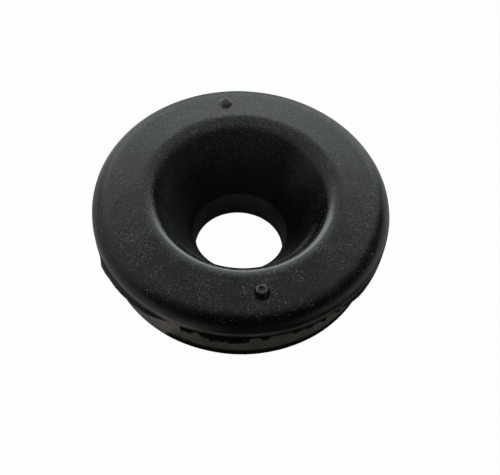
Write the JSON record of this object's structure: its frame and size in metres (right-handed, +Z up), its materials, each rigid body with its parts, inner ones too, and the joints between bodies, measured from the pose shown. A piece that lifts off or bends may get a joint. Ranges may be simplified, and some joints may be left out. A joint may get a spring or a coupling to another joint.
{
  "type": "rubber ring",
  "caption": "Black moulded rubber ring with a rounded upper flange, a panel groove, a smaller lower flange and a funnel mouth that leads into a straight bore; grommet mount for a locating pin.",
  "frame": {"origin": "on the bore's axis at the underside of the lower flange", "axes": "+Z up along the bore to the funnel mouth; +Y through one moulding pip and -Y through the other"},
  "size_m": [0.04, 0.04, 0.0127],
  "materials": {
    "rubber": "matte moulded black rubber, dusty on top"
  },
  "bodies": {
    "root": {"rubber_ring": "rubber"}
  },
  "joints": []
}
